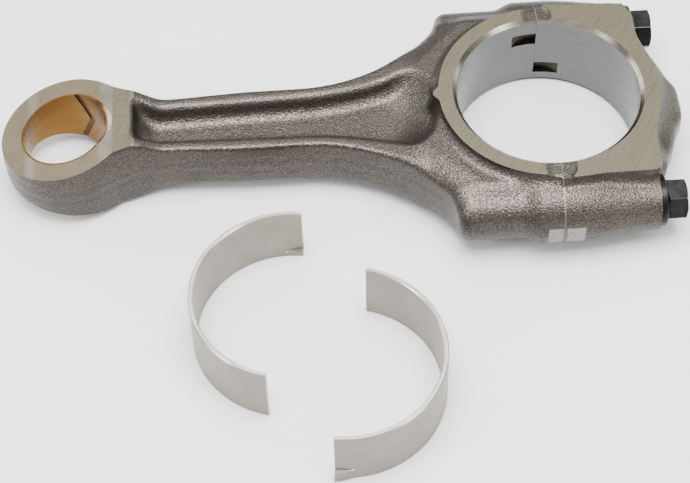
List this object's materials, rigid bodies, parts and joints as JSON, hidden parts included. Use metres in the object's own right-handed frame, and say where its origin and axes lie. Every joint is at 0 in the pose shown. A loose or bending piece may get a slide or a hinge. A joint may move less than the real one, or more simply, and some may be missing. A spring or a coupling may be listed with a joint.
{
  "type": "connecting rod",
  "caption": "Forged connecting rod with a bushed tapered small end, an I-section beam, a split big end with a bolted cap, and loose half-round bearing shells beside it.",
  "frame": {"origin": "centre of the small-end bore at mid-width", "axes": "+X from the small end to the big end, +Z along both bore axes, +Y across the rod away from the loose shells"},
  "size_m": [0.217, 0.1674, 0.029],
  "materials": {
    "forged_steel": "shot-blasted forged skin with milled and honed faces",
    "bronze": "fine bored",
    "black_steel": "black oxide",
    "bearing_lining": "matt"
  },
  "bodies": {
    "rod": {"rod_body": "forged_steel", "small_end_bush": "bronze"},
    "cap": {"rod_cap": "forged_steel"},
    "near_washer": {"near_bolt_washer": "black_steel"},
    "near_bolt": {"near_cap_bolt": "black_steel"},
    "far_washer": {"far_bolt_washer": "black_steel"},
    "far_bolt": {"far_cap_bolt": "black_steel"},
    "upper_shell": {"upper_bearing_shell": "bearing_lining"},
    "lower_shell": {"lower_bearing_shell": "bearing_lining"}
  },
  "joints": [
    {"name": "cap_removal", "type": "slide", "parent": "rod", "child": "cap", "axis": [1, 0, 0], "range_m": [0, 0.04]},
    {"name": "near_bolt_travel", "type": "slide", "parent": "cap", "child": "near_washer", "axis": [1, 0, 0], "range_m": [0, 0.0225]},
    {"name": "near_bolt_turn", "type": "hinge", "parent": "near_washer", "child": "near_bolt", "pos_m": [0.153, -0.0358, 0], "axis": [1, 0, 0], "range_deg": [0, 6480]},
    {"name": "far_bolt_travel", "type": "slide", "parent": "cap", "child": "far_washer", "axis": [1, 0, 0], "range_m": [0, 0.0225]},
    {"name": "far_bolt_turn", "type": "hinge", "parent": "far_washer", "child": "far_bolt", "pos_m": [0.153, 0.0358, 0], "axis": [1, 0, 0], "range_deg": [0, 6480]},
    {"name": "upper_shell_lift", "type": "slide", "parent": "rod", "child": "upper_shell", "axis": [0, 0, 1], "range_m": [0, 0.04]},
    {"name": "lower_shell_lift", "type": "slide", "parent": "rod", "child": "lower_shell", "axis": [0, 0, 1], "range_m": [0, 0.04]}
  ],
  "couplings": [
    {"joint": "near_bolt_turn", "follows": "near_bolt_travel", "rad_per_m": 5026.5},
    {"joint": "far_bolt_turn", "follows": "far_bolt_travel", "rad_per_m": 5026.5}
  ]
}
